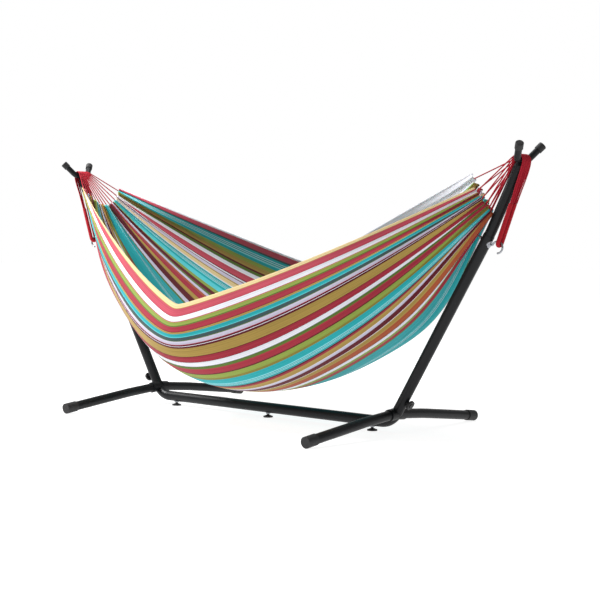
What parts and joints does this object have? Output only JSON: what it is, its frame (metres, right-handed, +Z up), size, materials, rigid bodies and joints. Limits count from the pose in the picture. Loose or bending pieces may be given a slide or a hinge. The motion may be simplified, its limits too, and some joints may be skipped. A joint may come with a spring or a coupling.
{
  "type": "hammock on stand",
  "caption": "Striped cloth hammock hung by fans of cord between the forks of a free-standing tubular steel stand with splayed feet, lock knobs and hook bolts.",
  "frame": {"origin": "on the floor under the middle of the bottom beam", "axes": "+X along the beam, +Y across it along the legs, +Z up"},
  "size_m": [2.8174, 1.194, 1.2265],
  "materials": {
    "black_steel": "satin black powder coat",
    "rubber_cap": "matt moulded rubber",
    "knob_plastic": "fine-textured moulded plastic",
    "zinc": "bright zinc plate",
    "cloth": "plain-woven striped cotton",
    "cord": "twisted red cotton cord"
  },
  "bodies": {
    "stand": {"beam_tube": "black_steel", "elbow_left": "black_steel", "elbow_right": "black_steel", "foot_inserts": "zinc", "fork_left": "black_steel", "fork_right": "black_steel", "fork_seats": "black_steel", "hook_bolt_left": "zinc", "hook_bolt_right": "zinc", "hook_nuts": "zinc", "hook_washers": "zinc", "knob_bosses": "black_steel", "leg_cap_left_back": "rubber_cap", "leg_cap_left_front": "rubber_cap", "leg_cap_right_back": "rubber_cap", "leg_cap_right_front": "rubber_cap", "leg_left_back": "black_steel", "leg_left_front": "black_steel", "leg_right_back": "black_steel", "leg_right_front": "black_steel", "lower_upright_left": "black_steel", "lower_upright_right": "black_steel", "prong_caps": "rubber_cap", "tail_cords_left": "cord", "tail_cords_right": "cord", "upper_upright_left": "black_steel", "upper_upright_right": "black_steel", "whipped_loop_left": "cord", "whipped_loop_right": "cord"},
    "hammock": {"hammock_bed": "cloth", "fan_cord_left_01": "cord", "fan_cord_left_02": "cord", "fan_cord_left_03": "cord", "fan_cord_left_04": "cord", "fan_cord_left_05": "cord", "fan_cord_left_06": "cord", "fan_cord_left_07": "cord", "fan_cord_left_08": "cord", "fan_cord_left_09": "cord", "fan_cord_left_10": "cord", "fan_cord_left_11": "cord", "fan_cord_left_12": "cord", "fan_cord_right_01": "cord", "fan_cord_right_02": "cord", "fan_cord_right_03": "cord", "fan_cord_right_04": "cord", "fan_cord_right_05": "cord", "fan_cord_right_06": "cord", "fan_cord_right_07": "cord", "fan_cord_right_08": "cord", "fan_cord_right_09": "cord", "fan_cord_right_10": "cord", "fan_cord_right_11": "cord", "fan_cord_right_12": "cord"},
    "foot_left": {"levelling_foot_left": "knob_plastic"},
    "foot_middle": {"levelling_foot_middle": "knob_plastic"},
    "foot_right": {"levelling_foot_right": "knob_plastic"},
    "knob_left": {"lock_knob_left": "knob_plastic"},
    "knob_right": {"lock_knob_right": "knob_plastic"}
  },
  "joints": [
    {"name": "hammock_swing", "type": "hinge", "parent": "stand", "child": "hammock", "pos_m": [0, 0, 1.154], "axis": [1, 0, 0], "range_deg": [-20, 20]},
    {"name": "foot_left_screw", "type": "hinge", "parent": "stand", "child": "foot_left", "pos_m": [-0.617, 0, 0.02], "axis": [0, 0, 1], "continuous": true},
    {"name": "foot_middle_screw", "type": "hinge", "parent": "stand", "child": "foot_middle", "pos_m": [0, 0, 0.02], "axis": [0, 0, 1], "continuous": true},
    {"name": "foot_right_screw", "type": "hinge", "parent": "stand", "child": "foot_right", "pos_m": [0.617, 0, 0.02], "axis": [0, 0, 1], "continuous": true},
    {"name": "knob_left_turn", "type": "hinge", "parent": "stand", "child": "knob_left", "pos_m": [-0.82024, 0, 0.12837], "axis": [-0.8599, 0, -0.5105], "continuous": true},
    {"name": "knob_right_turn", "type": "hinge", "parent": "stand", "child": "knob_right", "pos_m": [0.82024, 0, 0.12837], "axis": [0.8599, 0, -0.5105], "continuous": true}
  ]
}
